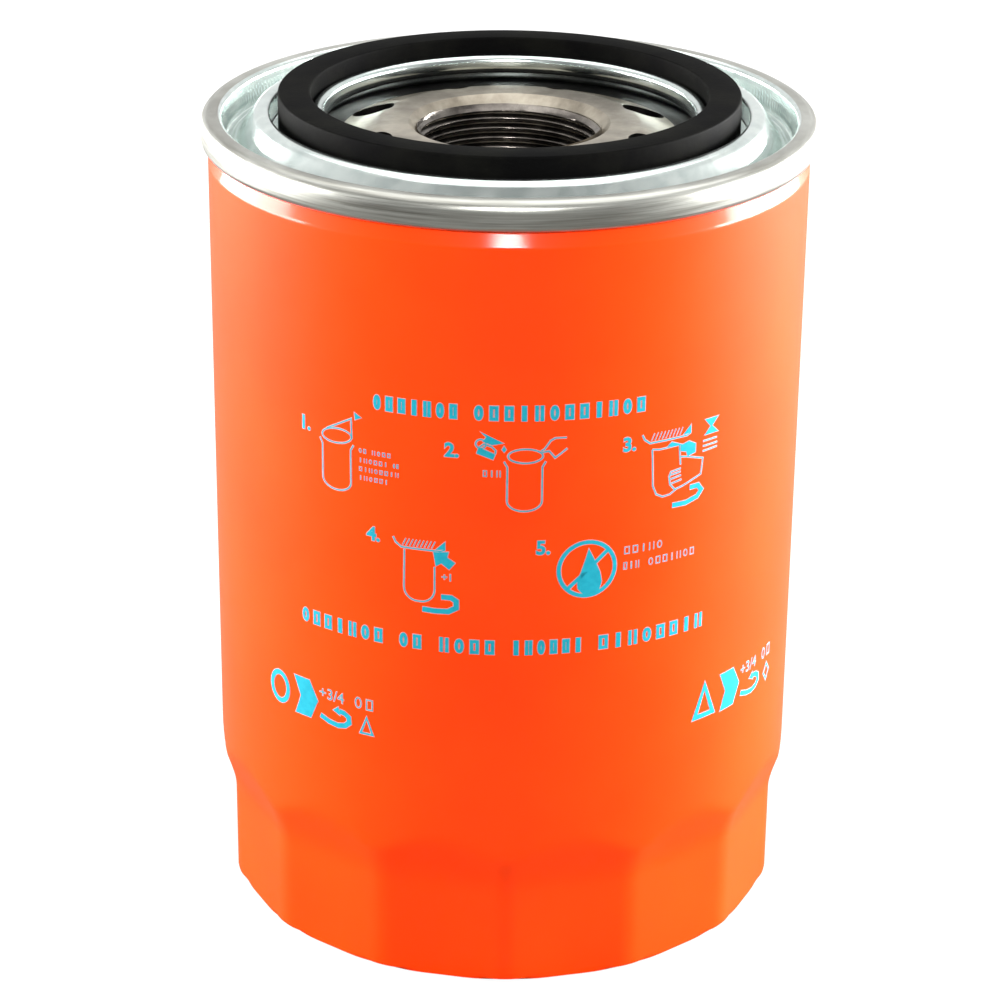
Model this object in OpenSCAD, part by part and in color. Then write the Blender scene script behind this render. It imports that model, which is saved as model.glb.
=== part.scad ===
// Spin-on oil filter. A drawn steel can with wrench flats holds a spring-loaded paper
// element, and a seamed lid carries the sealing gasket and covers a threaded base plate.

/* [Can] */
// Outer diameter of the can
can_d = 93.3; // [92.9:0.1:93.5]
// Height from the foot to the top of the seam
can_h = 129.4; // [127:0.5:150]
// Thickness of the can and lid sheet
sheet = 0.6; // [0.5:0.02:0.62]
// Radius of the can's bottom corner
corner_r = 4; // [3:0.5:5]

/* [Wrench flats] */
// Number of flats around the closed end
flats = 14; // [12:1:16]
// Distance across two opposite flats
flats_af = 88.3; // [87.5:0.1:89.5]
// Height of the full-depth flats
flats_h = 16; // [12:1:18]
// Height over which the flats fade into the round can
flats_fade = 12; // [8:1:14]

/* [Gasket and seam] */
// Outer diameter of the gasket
gasket_od = 71.5; // [71:0.1:71.8]
// Inner diameter of the gasket
gasket_id = 61.5; // [61.2:0.1:62]
// Height of the gasket
gasket_h = 6.4; // [5.5:0.1:7]
// Height of the rolled seam
seam_h = 4.65; // [4.5:0.05:5]

/* [Base plate] */
// Major diameter of the 1 1/8-16 thread
thread_d = 28.58; // [28:0.01:29]
// Thickness of the plate
plate_t = 3; // [2.5:0.1:3.2]
// Height of the threaded hub
hub_h = 18; // [17:0.5:18.5]
// Number of oil inlet holes
inlets = 8; // [6:1:8]
// Diameter of each inlet hole
inlet_d = 6.6; // [5:0.1:6.8]
// Diameter of the circle that the inlet holes lie on
inlet_pcd = 46; // [45.5:0.1:46.5]

/* [Element] */
// Outer diameter of the end caps
cap_d = 79; // [78:0.5:80]
// Number of pleats in the paper
pleats = 48; // [40:1:52]
// Outer diameter of the centre tube
tube_d = 41.4; // [41.2:0.1:41.6]
// Rows of holes in the centre tube
tube_rows = 9; // [5:1:10]
// Diameter of the bypass valve's port
port_d = 16.3; // [12:0.1:17]

/* [Hidden] */

$fn = 96;
slip = 0.06;                        // radial play between a sliding piece and its guide
touch = 0.04;                       // gap between two pieces that rest on each other
steel = [0.62, 0.62, 0.6];
zinc = [0.88, 0.91, 0.9];
rubber = [0.1, 0.1, 0.11];

// rolled seam: five layers of sheet, lid, can, lid, can, lid
can_r = can_d / 2;
seam_r = can_r + 1;
layer = sheet + slip;
fold_r = layer;                     // centre-line radius of each fold
lid_out = seam_r - sheet / 2;       // centre lines of the five layers
can_hook = lid_out - layer;
lid_hook = can_hook - layer;
can_neck = lid_hook - layer;
chuck_wall = can_neck - layer;
seam_top = can_h - sheet / 2;
hem_z = can_h - seam_h + sheet / 2 + fold_r;
can_fold_z = seam_top - 2 * layer - 0.44;

// lid and gasket
seat_z = can_h - 3.3;               // floor of the gasket channel
gasket_r = gasket_od / 2;
gasket_ri = gasket_id / 2;
channel_r = gasket_r + 1.2 + sheet / 2;
lip_r = gasket_ri - 0.2 - sheet / 2;

// base plate
boss_z = can_h - 2;                 // top of the boss around the thread
plate_z = seat_z - sheet - 0.02;    // top of the plate under the gasket channel
rim_z = can_h - 4.6 - sheet - touch;
hub_z = boss_z - hub_h;
hub_r = 18;
thread_r = thread_d / 2;
lead_in = 1.36;                     // chamfer at the mouth of the thread

// element, from the top down
tin = 0.5;                          // sheet of the end caps
cap_r = cap_d / 2 - tin / 2;
top_cap_z = hub_z + 0.6;
bottom_cap_z = 20.25;
cap_skirt = 5.5;
potting_t = 2.2;
tube_r = tube_d / 2;
media_r = cap_r - 1.25;
media_z0 = bottom_cap_z + tin / 2 + potting_t + touch;
media_z1 = top_cap_z - tin / 2 - potting_t - touch;
pleat_step = 360 / pleats;

// bypass valve
port_r = port_d / 2;
seat_top = bottom_cap_z + 1.75;
seal_t = 1.2;
disc_z = seat_top + touch + seal_t; // underside of the poppet's disc
disc_t = 1;
cage_top = 39.6;
cage_t = 0.8;
bypass_wire = 1.3;

// support spring
floor_z = 2;                        // rise of the can's recessed bottom panel
support_wire = 2.6;
locator_t = 0.8;
locator_z = bottom_cap_z - tin / 2 - touch - locator_t / 2;

function unit(v) = v / norm(v);
function polar(r, a) = [r * cos(a), r * sin(a)];

// a path of [x, z] or [x, z, bend radius] points, with its bends as short arcs
function corner(a, b, c, r, steps) =
    let (u = unit(a - b), v = unit(c - b), half = acos(u * v) / 2)
    let (centre = b + unit(u + v) * r / sin(half), reach = r / tan(half))
    let (s = b + u * reach - centre, e = b + v * reach - centre)
    let (from = atan2(s[1], s[0]), turn = (atan2(e[1], e[0]) - from + 540) % 360 - 180)
    [for (i = [0:steps]) centre + polar(r, from + turn * i / steps)];
function flat2(p) = [p[0], p[1]];
function bent(p, steps = 5) = [
    for (i = [0:len(p) - 1])
        each len(p[i]) == 2
            ? [p[i]]
            : corner(flat2(p[i - 1]), flat2(p[i]), flat2(p[i + 1]), p[i][2], steps)];

// the outline of a sheet of thickness t whose middle follows path p
function edge_normal(p, i) = let (d = unit(p[i + 1] - p[i])) [-d[1], d[0]];
function mitre(p, i) =
    i == 0 ? edge_normal(p, 0)
    : i == len(p) - 1 ? edge_normal(p, i - 1)
    : let (n = edge_normal(p, i - 1) + edge_normal(p, i)) 2 * n / (n * n);
function sheet_outline(p, t) = concat(
    [for (i = [0:len(p) - 1]) p[i] + mitre(p, i) * t / 2],
    [for (i = [len(p) - 1:-1:0]) p[i] - mitre(p, i) * t / 2]);

module pressed(p, t) {
    rotate_extrude()
        polygon(sheet_outline(bent(p), t));
}

module ring(r_in, r_out, z, h) {
    translate([0, 0, z])
        difference() {
            cylinder(r = r_out, h = h);
            translate([0, 0, -1])
                cylinder(r = r_in, h = h + 2);
        }
}

// how far the flats stand from the axis at height z
function fade(t) = t * t * (3 - 2 * t);
function flat_at(z) =
    let (t = min(max((z - flats_h) / flats_fade, 0), 1))
    flats_af / 2 + (can_r + 0.02 - flats_af / 2) * fade(t);

// a solid bounded by the flats, moved inward by inset
module flats_stack(inset) {
    steps = 6;
    clear_of_can = 6;
    levels = concat(
        [-1],
        [for (i = [0:steps]) flats_h + flats_fade * i / steps],
        [flats_h + flats_fade + 1, can_h + 5]);
    reach = concat(
        [for (i = [0:steps + 1]) flat_at(levels[i])],
        [can_r + clear_of_can, can_r + clear_of_can]);
    n = len(levels);
    spread = 1 / cos(180 / flats);
    points = [for (i = [0:n - 1]) for (k = [0:flats - 1])
        let (p = polar((reach[i] - inset) * spread, -90 + 360 / flats * k))
        [p[0], p[1], levels[i]]];
    sides = [for (i = [0:n - 2]) for (k = [0:flats - 1])
        let (m = (k + 1) % flats, lo = i * flats, hi = lo + flats)
        [lo + k, hi + k, hi + m, lo + m]];
    foot = [for (k = [0:flats - 1]) k];
    head = [for (k = [flats - 1:-1:0]) (n - 1) * flats + k];
    polyhedron(points, concat([foot, head], sides));
}

can_bottom = [
    [0, floor_z + sheet / 2],
    [28.5, floor_z + sheet / 2, 3],
    [32, sheet / 2, 3],
    [can_r - sheet / 2, sheet / 2, corner_r - sheet / 2]];
can_neck_z = hem_z - fold_r - 0.7;
can_side = [
    [can_r - sheet / 2, can_neck_z - 2.2, 1.2],
    [can_neck, can_neck_z, 1.2],
    [can_neck, can_fold_z]];

module can() {
    hook = [for (a = [150:-30:0]) [can_neck + fold_r, can_fold_z] + polar(fold_r, a)];
    path = concat(bent(concat(can_bottom, can_side)), hook, [[can_hook, can_fold_z - 1.3]]);
    wall_top = flats_h + flats_fade + 1;
    outside = bent([
        [0, 0],
        [can_r, 0, corner_r],
        [can_r, wall_top],
        [0, wall_top]]);
    color([1, 0.31, 0.08])
        union() {
            intersection() {
                rotate_extrude()
                    polygon(sheet_outline(path, sheet));
                flats_stack(0);
            }
            // the wall behind the flats
            intersection() {
                rotate_extrude()
                    polygon(outside);
                difference() {
                    flats_stack(0);
                    flats_stack(sheet);
                }
            }
        }
}

module seaming_lid() {
    valley_z = can_h - 4.6 - sheet / 2;
    crest_z = can_h + 0.1;
    hook_end = hem_z + 1.2;
    curl_r = 0.7;
    hem = [for (a = [180:30:360]) [lid_hook + fold_r, hem_z] + polar(fold_r, a)];
    dish = bent([
        [lid_out, hem_z + 0.5],
        [lid_out, seam_top, 0.9],
        [chuck_wall, seam_top, 0.7],
        [chuck_wall - 0.6, valley_z, 0.8],
        [42.4, valley_z, 1.4],
        [38.9, crest_z, 1.6],
        [channel_r, crest_z, 0.6],
        [channel_r, seat_z - sheet / 2, 0.6],
        [lip_r, seat_z - sheet / 2, 0.6],
        [lip_r, crest_z - curl_r]]);
    curl = [for (a = [30:30:180]) [lip_r - curl_r, crest_z + 0.1 - curl_r] + polar(curl_r, a)];
    lip_end = [lip_r - 2 * curl_r, crest_z - 2.3];
    color(zinc)
        rotate_extrude()
            polygon(sheet_outline(concat([[lid_hook, hook_end]], hem, dish, curl, [lip_end]), sheet));
}

module seam_compound() {
    bottom = can_fold_z + fold_r + sheet / 2 + touch;
    top = seam_top - sheet / 2 - touch;
    color([0.3, 0.3, 0.32])
        ring(can_neck + 0.2, can_neck + 0.9, bottom, top - bottom);
}

module base_plate() {
    under = plate_z - plate_t;
    outline = bent([
        [thread_r, hub_z + 0.8],
        [thread_r + 0.8, hub_z],
        [hub_r, hub_z],
        [hub_r, boss_z - plate_t],
        [20.6, boss_z - plate_t, 2],
        [26.2, under, 2],
        [38.6, under],
        [40, rim_z - plate_t],
        [43.2, rim_z - plate_t],
        [43.2, rim_z],
        [40.6, rim_z, 1],
        [39, plate_z, 1],
        [26.6, plate_z, 3],
        [20.3, boss_z, 2],
        [thread_r + lead_in, boss_z],
        [thread_r, boss_z - lead_in]], 4);
    color([0.5, 0.46, 0.43])
        difference() {
            rotate_extrude()
                polygon(outline);
            for (i = [0:inlets - 1])
                rotate([0, 0, 360 / inlets * (i + 0.5) - 90])
                    translate([inlet_pcd / 2, 0, hub_z])
                        cylinder(d = inlet_d, h = hub_h + 5);
        }
}

module gasket() {
    color(rubber)
        ring(gasket_ri, gasket_r, seat_z + touch, gasket_h - touch);
}

module anti_drain_valve() {
    collar_z = top_cap_z + 3.5;
    lip_z = plate_z - plate_t - slip;
    color([0.16, 0.16, 0.17])
        rotate_extrude()
            polygon([
                [hub_r + slip, collar_z],
                [20.2, collar_z],
                [20.2, collar_z + 2],
                [29.4, lip_z - 3.3],
                [32.4, lip_z],
                [31, lip_z],
                [28.6, lip_z - 1.9],
                [20.2, collar_z + 3.6],
                [20.2, collar_z + 4.8],
                [hub_r + slip, collar_z + 4.8]]);
}

neck_r = hub_r + 1.55;              // middle of the top end cap's neck

module top_end_cap() {
    color(steel)
        pressed([
            [neck_r, top_cap_z - cap_skirt],
            [neck_r, top_cap_z, 0.6],
            [cap_r, top_cap_z, 0.8],
            [cap_r, top_cap_z - cap_skirt]], tin);
}

module element_grommet() {
    flange_z = top_cap_z + tin / 2 + touch;
    neck_face = neck_r - tin / 2 - touch;
    color(rubber)
        rotate_extrude()
            polygon([
                [hub_r + slip, top_cap_z - 4.8],
                [neck_face, top_cap_z - 4.8],
                [neck_face, flange_z],
                [22.6, flange_z],
                [22.6, flange_z + 1.4],
                [hub_r + slip, flange_z + 1.4]]);
}

module potting(z) {
    inside_bend = 0.85;             // keeps clear of the cap's rounded corner
    color([0.35, 0.2, 0.12])
        ring(tube_r + 0.2, cap_r - inside_bend, z, potting_t);
}

module top_potting() {
    potting(media_z1 + touch / 2);
}

module bottom_potting() {
    potting(bottom_cap_z + tin / 2 + touch / 2);
}

// where the two ends of the paper meet, they stand up as a fin that the clip grips
fin_r = media_r - 1.2;
fin_t = 0.44;

module pleated_media() {
    tip = media_r;
    fold = tube_r + 0.3;
    depth = 5.6;                    // radial thickness of the paper at a fold
    fin = [[fold + depth + 0.6, -fin_t / 2], [fin_r, -fin_t / 2],
        [fin_r, fin_t / 2], [fold + depth + 0.6, fin_t / 2]];
    outer = [for (i = [0:pleats - 1]) each i == 0
        ? concat(fin, [polar(tip, pleat_step / 2)])
        : [polar(fold + depth, pleat_step * i), polar(tip, pleat_step * (i + 0.5))]];
    inner = [for (i = [0:pleats - 1]) each
        [polar(fold, pleat_step * i), polar(tip - depth, pleat_step * (i + 0.5))]];
    color([0.93, 0.86, 0.62])
        translate([0, 0, media_z0])
            linear_extrude(media_z1 - media_z0)
                difference() {
                    polygon(outer);
                    polygon(inner);
                }
}

module media_clip() {
    wall = 0.35;
    half = fin_t / 2 + 0.05;
    inside = fin_r + 0.1;
    color(steel)
        translate([0, 0, media_z0 + 1])
            linear_extrude(media_z1 - media_z0 - 2)
                difference() {
                    translate([inside - 6, -half - wall])
                        square([6 + wall, 2 * (half + wall)]);
                    translate([inside - 7, -half])
                        square([7, 2 * half]);
                }
}

module centre_tube() {
    wall = 0.6;
    bottom = bottom_cap_z + tin / 2 + touch;
    height = top_cap_z - tin / 2 - touch - bottom;
    around = 10;
    hole_d = 5;
    pitch = (height - 12) / tube_rows;
    color(steel)
        difference() {
            ring(tube_r - wall, tube_r, bottom, height);
            for (row = [0:tube_rows - 1])
                for (i = [0:around - 1])
                    rotate([0, 0, 360 / around * (i + row % 2 / 2)])
                        translate([tube_r - 2 * wall, 0, bottom + 6 + pitch * (row + 0.5)])
                            rotate([0, 90, 0])
                                cylinder(d = hole_d, h = 4 * wall);
        }
}

module bottom_end_cap() {
    color(steel)
        pressed([
            [port_r + tin / 2, seat_top],
            [port_r + tin / 2, bottom_cap_z, 0.6],
            [cap_r, bottom_cap_z, 0.8],
            [cap_r, bottom_cap_z + cap_skirt]], tin);
}

module bypass_cage() {
    flange_z = bottom_cap_z + tin / 2 + touch + cage_t / 2;
    windows = 4;
    color(steel)
        difference() {
            pressed([
                [tube_r - 0.9, flange_z],
                [13, flange_z, 0.8],
                [13, cage_top, 1.6],
                [2.8, cage_top]], cage_t);
            for (i = [0:windows - 1])
                rotate([0, 0, 360 / windows * i])
                    translate([8, -5.5, flange_z + 3])
                        cube([10, 11, 12]);
        }
}

module bypass_poppet() {
    stem_r = 2.4;
    color([0.85, 0.84, 0.8])
        rotate_extrude()
            polygon([
                [0, seat_top - 1.1],
                [4, seat_top - 1.1],
                [4, seat_top - 0.1],
                [stem_r, seat_top - 0.1],
                [stem_r, disc_z + touch],
                [11, disc_z + touch],
                [11, disc_z + touch + disc_t],
                [stem_r + 1.2, disc_z + touch + disc_t],
                [stem_r, disc_z + touch + disc_t + 1.2],
                [stem_r, cage_top + 4],
                [stem_r - 0.6, cage_top + 4.6],
                [0, cage_top + 4.6]]);
}

module bypass_seal() {
    color(rubber)
        ring(2.6, 10.6, seat_top + touch, seal_t - touch);
}

// a round wire wound from [radius, height] lo to hi
module coil(lo, hi, wire_d, turns) {
    sides = 8;
    per_turn = 20;
    n = per_turn * turns;
    rise = hi[1] - lo[1];
    points = [for (i = [0:n]) for (k = [0:sides - 1])
        let (t = i / n, a = 360 / per_turn * i, w = polar(wire_d / 2, 360 / sides * k))
        let (r = lo[0] + (hi[0] - lo[0]) * t + w[0])
        [r * cos(a), r * sin(a), lo[1] + rise * t + w[1]]];
    tube = [for (i = [0:n - 1]) for (k = [0:sides - 1])
        let (m = (k + 1) % sides)
        [i * sides + k, i * sides + m, (i + 1) * sides + m, (i + 1) * sides + k]];
    start = [for (k = [sides - 1:-1:0]) k];
    end = [for (k = [0:sides - 1]) n * sides + k];
    polyhedron(points, concat([start, end], tube));
}

module bypass_spring() {
    bottom = disc_z + touch + disc_t + touch + bypass_wire / 2;
    top = cage_top - cage_t / 2 - touch - bypass_wire / 2;
    color(steel)
        coil([6.8, bottom], [6.8, top], bypass_wire, 5);
}

module spring_locator() {
    color(steel)
        pressed([
            [12, locator_z - 2.4],
            [12, locator_z, 0.8],
            [21, locator_z]], locator_t);
}

module support_spring() {
    bottom = floor_z + sheet + touch + support_wire / 2;
    top = locator_z - locator_t / 2 - touch - support_wire / 2;
    color(steel)
        coil([25, bottom], [14.6, top], support_wire, 3);
}

can();
seaming_lid();
seam_compound();
base_plate();
gasket();
anti_drain_valve();
top_end_cap();
element_grommet();
top_potting();
pleated_media();
media_clip();
centre_tube();
bottom_potting();
bottom_end_cap();
bypass_cage();
bypass_poppet();
bypass_seal();
bypass_spring();
spring_locator();
support_spring();
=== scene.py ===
import math

import bmesh
import bpy
from mathutils import Matrix, Vector


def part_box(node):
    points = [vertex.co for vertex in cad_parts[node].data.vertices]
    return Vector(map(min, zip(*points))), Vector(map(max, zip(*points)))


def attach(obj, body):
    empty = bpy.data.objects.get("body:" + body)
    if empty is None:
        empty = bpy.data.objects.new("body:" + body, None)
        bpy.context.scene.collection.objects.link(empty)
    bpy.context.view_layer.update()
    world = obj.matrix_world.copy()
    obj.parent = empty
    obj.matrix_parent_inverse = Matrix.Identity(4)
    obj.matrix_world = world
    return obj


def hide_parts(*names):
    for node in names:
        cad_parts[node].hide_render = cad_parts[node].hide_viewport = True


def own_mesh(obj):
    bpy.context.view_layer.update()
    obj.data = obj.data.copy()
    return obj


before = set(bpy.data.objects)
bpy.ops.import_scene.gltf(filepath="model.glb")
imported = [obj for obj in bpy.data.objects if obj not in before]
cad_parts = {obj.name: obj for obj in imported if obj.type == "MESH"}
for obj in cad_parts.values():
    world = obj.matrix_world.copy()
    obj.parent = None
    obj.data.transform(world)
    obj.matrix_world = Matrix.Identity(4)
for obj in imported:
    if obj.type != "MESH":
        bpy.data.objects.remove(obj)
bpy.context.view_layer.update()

scene = bpy.context.scene
mm = 0.001


# small helpers for colours, nodes and profiles

def paintColor(code):
    # sRGB hex to the linear colour that the shaders take
    parts = [int(code[i:i + 2], 16) / 255 for i in (1, 3, 5)]
    return tuple(c / 12.92 if c <= 0.04045 else ((c + 0.055) / 1.055) ** 2.4 for c in parts) + (1.0,)


def addNode(material, kind, settings=None, links=None):
    node = material.node_tree.nodes.new(kind)
    for key, value in (settings or {}).items():
        if isinstance(key, str) and key[0].islower():
            setattr(node, key, value)
        else:
            node.inputs[key].default_value = value
    for key, source in (links or {}).items():
        socket = source if isinstance(source, bpy.types.NodeSocket) else source.outputs[0]
        material.node_tree.links.new(socket, node.inputs[key])
    return node


def startMaterial(name, shaderSettings):
    material = bpy.data.materials.new(name)
    material.use_nodes = True
    shader = material.node_tree.nodes["Principled BSDF"]
    for key, value in shaderSettings.items():
        shader.inputs[key].default_value = value
    return material, shader


def connect(material, source, shader, socketName):
    material.node_tree.links.new(source.outputs[0], shader.inputs[socketName])


def objectSpace(material):
    return addNode(material, "ShaderNodeTexCoord").outputs["Object"]


def bent(points, steps=6):
    # Turns (x, z, bend radius) corners of a path into arcs
    path = []
    for i, point in enumerate(points):
        if len(point) == 2:
            path.append(Vector(point))
            continue
        here, radius = Vector(point[:2]), point[2]
        before = (Vector(points[i - 1][:2]) - here).normalized()
        after = (Vector(points[i + 1][:2]) - here).normalized()
        half = before.angle(after) / 2
        centre = here + (before + after).normalized() * radius / math.sin(half)
        first = here + before * radius / math.tan(half) - centre
        last = here + after * radius / math.tan(half) - centre
        turn = first.angle_signed(last)
        for k in range(steps + 1):
            path.append(centre + first @ Matrix.Rotation(turn * k / steps, 2))
    return path


def arcPath(centre, radius, start, end, steps):
    angles = [math.radians(start + (end - start) * k / steps) for k in range(steps + 1)]
    return [Vector((centre[0] + radius * math.cos(a), centre[1] + radius * math.sin(a))) for a in angles]


def spunShape(path, steps, closed=False):
    # A profile of (radius, height) points in mm, spun round the filter's axis
    bm = bmesh.new()
    verts = [bm.verts.new((x * mm, 0, z * mm)) for x, z in path]
    edges = [bm.edges.new(pair) for pair in zip(verts, verts[1:])]
    if closed:
        edges.append(bm.edges.new((verts[-1], verts[0])))
    bmesh.ops.spin(bm, geom=verts + edges, cent=(0, 0, 0), axis=(0, 0, 1), dvec=(0, 0, 0),
                   angle=math.tau, steps=steps, use_merge=True)
    bmesh.ops.remove_doubles(bm, verts=bm.verts, dist=1e-7)
    bmesh.ops.recalc_face_normals(bm, faces=bm.faces)
    return bm


def placePiece(bm, name, materials, body, sharpAngle=38):
    mesh = bpy.data.meshes.new(name)
    for face in bm.faces:
        face.smooth = True
    bm.to_mesh(mesh)
    bm.free()
    mesh.set_sharp_from_angle(angle=math.radians(sharpAngle))
    for material in materials:
        mesh.materials.append(material)
    piece = bpy.data.objects.new(name, mesh)
    scene.collection.objects.link(piece)
    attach(piece, body)
    return piece


def bakeModifiers(piece):
    # Replaces the piece's mesh by its modified one, so that nothing is left live
    depsgraph = bpy.context.evaluated_depsgraph_get()
    final = bpy.data.meshes.new_from_object(piece.evaluated_get(depsgraph))
    piece.modifiers.clear()
    piece.data = final


def polar(vert):
    return math.hypot(vert.co.x, vert.co.y) / mm, math.atan2(vert.co.y, vert.co.x), vert.co.z / mm


def setRadius(vert, radius):
    scale = radius * mm / max(math.hypot(vert.co.x, vert.co.y), 1e-9)
    vert.co.x *= scale
    vert.co.y *= scale


def smoothStep(t):
    t = min(max(t, 0), 1)
    return t * t * (3 - 2 * t)


def softMin(a, b, width):
    h = max(width - abs(a - b), 0) / width
    return min(a, b) - h * h * width / 4


# sizes in mm shared by the can, the lid, the plate and the gasket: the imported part's boxes give the
# outlines, and the sheet, the folds and the gasket's bore repeat its numbers

lidBox, gasketBox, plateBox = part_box("seaming_lid"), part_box("gasket"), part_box("base_plate")
curlRise = 0.5               # how far the inner curl stands above the seam
seamTop = lidBox[1].z / mm - curlRise
seamRadius = lidBox[1].x / mm
sheet = 0.6
canRadius = seamRadius - 1   # the seam stands a millimetre proud of the can
layer = sheet + 0.06         # one layer of the seam, with the sealant beside it
chuckRadius = seamRadius - sheet / 2 - 4 * layer
seamHeight = 4.65
hemHeight = seamTop - seamHeight + sheet / 2 + layer
gasketInner = 61.5 / 2


# the can: deep-drawn sheet with wrench flats pressed in, under baked enamel

print("drawing the can")

canSettings = {
    "steps": 336,             # a whole number of steps on each flat
    "flats": 14,
    "acrossFlats": 88.3,
    "flatTop": 16.0,          # height where the flats begin to fade
    "fadeTop": 28.0,
    "fadeReach": 46.8,
    "edgeSoftness": 0.8,      # rounding where two flats meet
    "wallSoftness": 0.2,      # and where a flat meets the round wall
    "pressedFrom": 38,        # the closed end inside this radius is not pressed
    "cornerRadius": 4,
    "panelRise": 2,
}


def enamel():
    # baked alkyd enamel, sprayed: a clear wet gloss over a saturated orange, with faint orange peel
    material, shader = startMaterial("bakedOrangeEnamel", {
        "Base Color": paintColor("#FF3D03"), "Roughness": 0.45, "IOR": 1.5, "Specular IOR Level": 0.06,
        "Coat Weight": 0.3, "Coat Roughness": 0.11, "Coat IOR": 1.5})
    place = objectSpace(material)
    drift = addNode(material, "ShaderNodeTexNoise", {"Scale": 45.0, "Detail": 3.0}, {"Vector": place})
    tint = addNode(material, "ShaderNodeValToRGB", links={"Fac": drift})
    tint.color_ramp.elements[0].color = paintColor("#FD3B02")
    tint.color_ramp.elements[0].position = 0.35
    tint.color_ramp.elements[1].color = paintColor("#FF3F03")
    tint.color_ramp.elements[1].position = 0.65
    connect(material, tint, shader, "Base Color")
    peel = addNode(material, "ShaderNodeTexNoise", {"Scale": 900.0, "Detail": 2.0}, {"Vector": place})
    bump = addNode(material, "ShaderNodeBump", {"Strength": 0.05, "Distance": 0.0001}, {"Height": peel})
    connect(material, bump, shader, "Normal")
    connect(material, bump, shader, "Coat Normal")
    return material


def flatReach(height):
    s = canSettings
    fade = smoothStep((height - s["flatTop"]) / (s["fadeTop"] - s["flatTop"]))
    return s["acrossFlats"] / 2 + (s["fadeReach"] - s["acrossFlats"] / 2) * fade


def pressFlats(bm, inset):
    s = canSettings
    step = math.tau / s["flats"]
    for vert in bm.verts:
        radius, angle, height = polar(vert)
        if radius < s["pressedFrom"] or height > s["fadeTop"]:
            continue
        offset = (angle + math.pi / 2) % step
        reach = flatReach(height)
        near = reach / math.cos(step / 2 - offset)
        beside = reach / math.cos(min(offset, step - offset) + step / 2)
        wall = softMin(near, beside, s["edgeSoftness"]) - inset
        setRadius(vert, softMin(wall, radius, s["wallSoftness"]))


def buildCan():
    s = canSettings
    middle = canRadius - sheet / 2
    neck = chuckRadius + layer
    foldHeight = seamTop - sheet / 2 - 2 * layer - 0.44
    neckHeight = hemHeight - layer - 0.7
    bottom = bent([(0, s["panelRise"] + sheet / 2), (28.5, s["panelRise"] + sheet / 2, 3),
                   (32, sheet / 2, 3), (middle, sheet / 2, s["cornerRadius"] - sheet / 2),
                   (middle, s["cornerRadius"] + 0.5)], 8)
    wall = [Vector((middle, s["cornerRadius"] + 0.8 + 0.8 * k)) for k in range(34)]
    wall += [Vector((middle, 38 + 8 * k)) for k in range(11)]
    top = bent([(middle, neckHeight - 3.4), (middle, neckHeight - 2.2, 1.2),
                (neck, neckHeight, 1.2), (neck, foldHeight)], 8)
    hook = arcPath((neck + layer, foldHeight), layer, 180, 0, 8)[1:]
    bm = spunShape(bottom + wall + top + hook + [Vector((neck + 2 * layer, foldHeight - 1.3))], s["steps"])
    pressFlats(bm, sheet / 2)
    can = placePiece(bm, "canShell", [enamel()], "housing")
    wallMaker = can.modifiers.new("wall", "SOLIDIFY")
    wallMaker.thickness = sheet * mm
    wallMaker.offset = 0
    wallMaker.use_even_offset = True
    bakeModifiers(can)
    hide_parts("can")
    return can


buildCan()


# the lid: one pressing from the seam to the inner lip, bright zinc, burnished where the seam was rolled

print("pressing the lid")

lidSettings = {
    "steps": 288,
    "valleyDepth": 4.6,
    "valleyRadius": 42.4,
    "crestRadius": 38.9,
    "gasketSeat": 3.3,
    "curlRadius": 0.7,
    "knurlLow": 125.5,
    "knurlHigh": 127.7,
    "knurlDepth": 0.14,
}


def zincPlate():
    # bright zinc with a pale blue passivate: white metal, cool in the shadows
    material, shader = startMaterial("brightZincPlate", {
        "Base Color": paintColor("#DEE6E3"), "Metallic": 1.0, "Roughness": 0.22})
    place = objectSpace(material)
    cloud = addNode(material, "ShaderNodeTexNoise", {"Scale": 260.0, "Detail": 4.0}, {"Vector": place})
    tint = addNode(material, "ShaderNodeValToRGB", links={"Fac": cloud})
    tint.color_ramp.elements[0].color = paintColor("#C9D4D1")
    tint.color_ramp.elements[0].position = 0.3
    tint.color_ramp.elements[1].color = paintColor("#E0E8E4")
    tint.color_ramp.elements[1].position = 0.7
    connect(material, tint, shader, "Base Color")
    rough = addNode(material, "ShaderNodeMapRange", {"To Min": 0.16, "To Max": 0.25}, {"Value": cloud})
    connect(material, rough, shader, "Roughness")
    grain = addNode(material, "ShaderNodeTexNoise", {"Scale": 2400.0, "Detail": 2.0}, {"Vector": place})
    bump = addNode(material, "ShaderNodeBump", {"Strength": 0.08, "Distance": 0.00005}, {"Height": grain})
    connect(material, bump, shader, "Normal")
    return material


def rolledSeam():
    # zinc rubbed by the seaming rollers: grey steel with streaks that run round the can
    material, shader = startMaterial("burnishedSeamSteel", {
        "Base Color": paintColor("#B5B7B2"), "Metallic": 1.0, "Roughness": 0.3})
    place = objectSpace(material)
    around = addNode(material, "ShaderNodeMapping", {"Scale": (60.0, 60.0, 2600.0)}, {"Vector": place})
    streak = addNode(material, "ShaderNodeTexNoise", {"Scale": 1.0, "Detail": 5.0, "Roughness": 0.6},
                     {"Vector": around})
    tint = addNode(material, "ShaderNodeValToRGB", links={"Fac": streak})
    tint.color_ramp.elements[0].color = paintColor("#94938B")
    tint.color_ramp.elements[0].position = 0.34
    tint.color_ramp.elements[1].color = paintColor("#C0C1BA")
    tint.color_ramp.elements[1].position = 0.66
    connect(material, tint, shader, "Base Color")
    rough = addNode(material, "ShaderNodeMapRange", {"To Min": 0.24, "To Max": 0.4}, {"Value": streak})
    connect(material, rough, shader, "Roughness")
    bump = addNode(material, "ShaderNodeBump", {"Strength": 0.08, "Distance": 0.00005}, {"Height": streak})
    connect(material, bump, shader, "Normal")
    return material


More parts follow.
